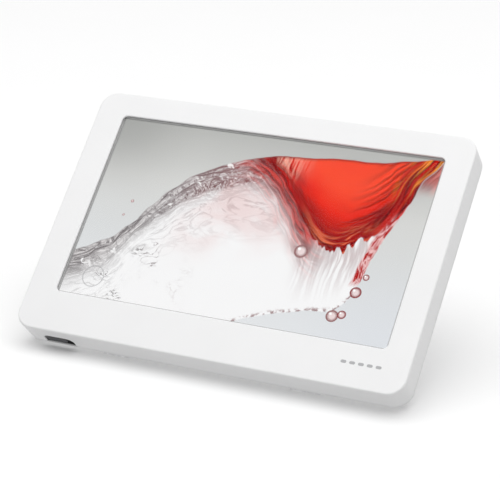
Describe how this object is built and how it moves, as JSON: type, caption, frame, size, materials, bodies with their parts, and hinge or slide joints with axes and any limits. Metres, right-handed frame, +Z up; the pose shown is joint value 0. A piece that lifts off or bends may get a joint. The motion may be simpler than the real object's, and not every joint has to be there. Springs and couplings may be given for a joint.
{
  "type": "digital photo frame",
  "caption": "White digital photo frame with a recessed wide display, rounded corners, a folding rear leg, a ribbed slide switch, rear push buttons and side sockets.",
  "frame": {"origin": "on the table, under the middle of the standing frame's box", "axes": "+X to the viewer's right along the lower edge, +Y from the display's side to the leg's side, +Z up; the display faces -Y, tilted back"},
  "size_m": [0.18, 0.096, 0.0938],
  "materials": {
    "case_white": "satin white ABS, fine moulded texture",
    "stand_white": "satin white ABS",
    "button_white": "satin white ABS caps",
    "window_clear": "clear hard-coated acrylic",
    "display_picture": "lit display with an abstract picture",
    "guide_clear": "clear acrylic light guide",
    "gasket_black": "black foam gasket",
    "tray_steel": "bent sheet steel",
    "led_bar_white": "white LED bar",
    "flex_amber": "amber polyimide ribbon",
    "board_green": "green solder mask",
    "chip_black": "black epoxy packages",
    "socket_tin": "tin-plated steel",
    "inlet_black": "black nylon",
    "speaker_black": "black paper cone and basket",
    "slider_grey": "dark grey ribbed plastic",
    "liner_black": "black plastic sheet",
    "dome_steel": "steel dome switch",
    "hinge_steel": "plain steel",
    "screw_steel": "zinc-plated steel",
    "foot_rubber": "pale grey silicone"
  },
  "bodies": {
    "case": {"front_housing": "case_white", "rear_cover": "case_white", "window_pane": "window_clear", "lcd_panel": "display_picture", "light_guide": "guide_clear", "window_gasket": "gasket_black", "backlight_frame": "tray_steel", "backlight_led_bar": "led_bar_white", "display_flex": "flex_amber", "main_board": "board_green", "switch_board": "board_green", "button_board": "board_green", "processor_chip": "chip_black", "memory_chip": "chip_black", "sd_card_socket": "socket_tin", "usb_socket": "socket_tin", "slide_switch_body": "socket_tin", "dc_inlet": "inlet_black", "speaker_left": "speaker_black", "speaker_right": "speaker_black", "slider_liner": "liner_black", "dome_switch_1": "dome_steel", "dome_switch_2": "dome_steel", "dome_switch_3": "dome_steel", "dome_switch_4": "dome_steel", "dome_switch_5": "dome_steel", "hinge_pin": "hinge_steel", "hinge_washer_left": "hinge_steel", "hinge_washer_right": "hinge_steel", "case_screw_1": "screw_steel", "case_screw_2": "screw_steel", "case_screw_3": "screw_steel", "case_screw_4": "screw_steel", "case_screw_5": "screw_steel", "foot_left": "foot_rubber", "foot_right": "foot_rubber"},
    "leg": {"stand_leg": "stand_white", "leg_foot_pad": "foot_rubber"},
    "slider": {"power_slider": "slider_grey"},
    "power_button": {"button_power": "button_white"},
    "menu_button": {"button_menu": "button_white"},
    "previous_button": {"button_previous": "button_white"},
    "play_button": {"button_play": "button_white"},
    "next_button": {"button_next": "button_white"}
  },
  "joints": [
    {"name": "leg_fold", "type": "hinge", "parent": "case", "child": "leg", "pos_m": [0, 0.02285, 0.06095], "axis": [-1, 0, 0], "range_deg": [0, 64]},
    {"name": "power_slide", "type": "slide", "parent": "case", "child": "slider", "axis": [1, 0, 0], "range_m": [0, 0.0036]},
    {"name": "power_press", "type": "slide", "parent": "case", "child": "power_button", "axis": [0, -0.6947, 0.7193], "range_m": [0, 0.0007], "stiffness_N_per_m": 1200, "springref_m": -0.0002},
    {"name": "menu_press", "type": "slide", "parent": "case", "child": "menu_button", "axis": [0, -0.6947, 0.7193], "range_m": [0, 0.0007], "stiffness_N_per_m": 1200, "springref_m": -0.0002},
    {"name": "previous_press", "type": "slide", "parent": "case", "child": "previous_button", "axis": [0, -0.6947, 0.7193], "range_m": [0, 0.0007], "stiffness_N_per_m": 1200, "springref_m": -0.0002},
    {"name": "play_press", "type": "slide", "parent": "case", "child": "play_button", "axis": [0, -0.6947, 0.7193], "range_m": [0, 0.0007], "stiffness_N_per_m": 1200, "springref_m": -0.0002},
    {"name": "next_press", "type": "slide", "parent": "case", "child": "next_button", "axis": [0, -0.6947, 0.7193], "range_m": [0, 0.0007], "stiffness_N_per_m": 1200, "springref_m": -0.0002}
  ]
}
